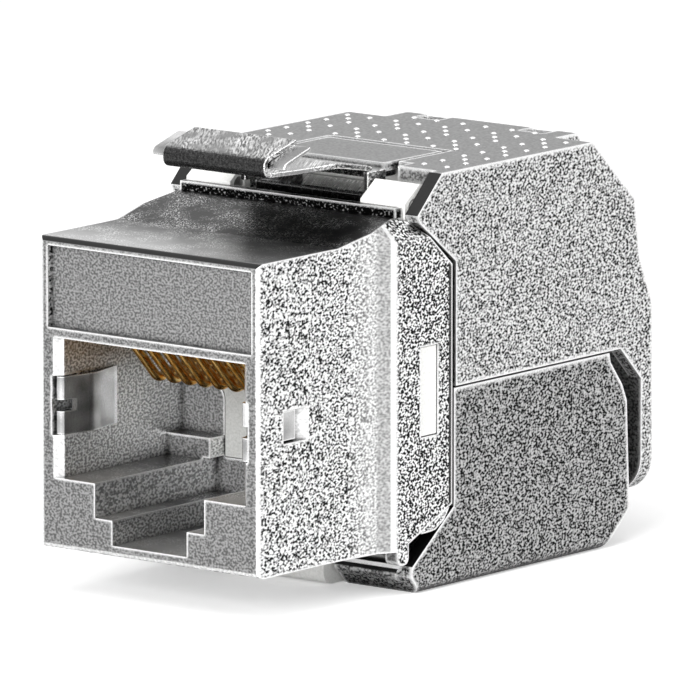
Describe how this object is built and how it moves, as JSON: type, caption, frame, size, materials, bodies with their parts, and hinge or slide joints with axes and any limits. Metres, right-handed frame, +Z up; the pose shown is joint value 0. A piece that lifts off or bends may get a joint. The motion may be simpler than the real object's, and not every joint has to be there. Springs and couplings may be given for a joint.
{
  "type": "shielded keystone jack",
  "caption": "Shielded keystone jack: die-cast nickel-plated shell with a modular plug port, spring panel latch and two hinged rear caps over the wire terminals.",
  "frame": {"origin": "middle of the footprint, on the plane that the lower cap stands on", "axes": "+X to the right of someone facing the port, +Y from the port back to the cable entry, +Z up towards the latch"},
  "size_m": [0.0164, 0.0316, 0.0236],
  "materials": {
    "nickel_casting": "nickel-plated zinc die casting, fine blasted",
    "spring_steel": "rolled spring steel, bright",
    "pin_steel": "ground steel",
    "white_plastic": "moulded, satin",
    "grey_plastic": "moulded, matte",
    "gold_contact": "gold plated, bright",
    "tin_blade": "tin-plated bronze",
    "board": "green solder mask"
  },
  "bodies": {
    "housing": {"front_housing": "nickel_casting", "core_body": "white_plastic", "contact_comb": "grey_plastic", "contact_1": "gold_contact", "contact_2": "gold_contact", "contact_3": "gold_contact", "contact_4": "gold_contact", "contact_5": "gold_contact", "contact_6": "gold_contact", "contact_7": "gold_contact", "contact_8": "gold_contact", "circuit_board": "board", "upper_idc_block": "grey_plastic", "lower_idc_block": "grey_plastic", "idc_blade_1": "tin_blade", "idc_blade_2": "tin_blade", "idc_blade_3": "tin_blade", "idc_blade_4": "tin_blade", "idc_blade_5": "tin_blade", "idc_blade_6": "tin_blade", "idc_blade_7": "tin_blade", "idc_blade_8": "tin_blade", "wire_manager": "white_plastic", "right_shield_spring": "spring_steel", "left_shield_spring": "spring_steel", "latch_plate": "nickel_casting", "right_upper_hinge_pin": "pin_steel", "left_upper_hinge_pin": "pin_steel", "lower_hinge_pin": "pin_steel"},
    "upper_cap": {"upper_cap": "nickel_casting"},
    "lower_cap": {"lower_cap": "nickel_casting", "screen_clip": "spring_steel"},
    "latch": {"latch_spring": "spring_steel"}
  },
  "joints": [
    {"name": "upper_cap_hinge", "type": "hinge", "parent": "housing", "child": "upper_cap", "pos_m": [0, -0.0032, 0.01995], "axis": [1, 0, 0], "range_deg": [0, 90]},
    {"name": "lower_cap_hinge", "type": "hinge", "parent": "housing", "child": "lower_cap", "pos_m": [0, -0.0032, 0.00155], "axis": [1, 0, 0], "range_deg": [-90, 0]},
    {"name": "latch_press", "type": "hinge", "parent": "housing", "child": "latch", "pos_m": [0, -0.0004, 0.0209], "axis": [1, 0, 0], "range_deg": [0, 8], "stiffness_Nm_per_rad": 0.02}
  ]
}
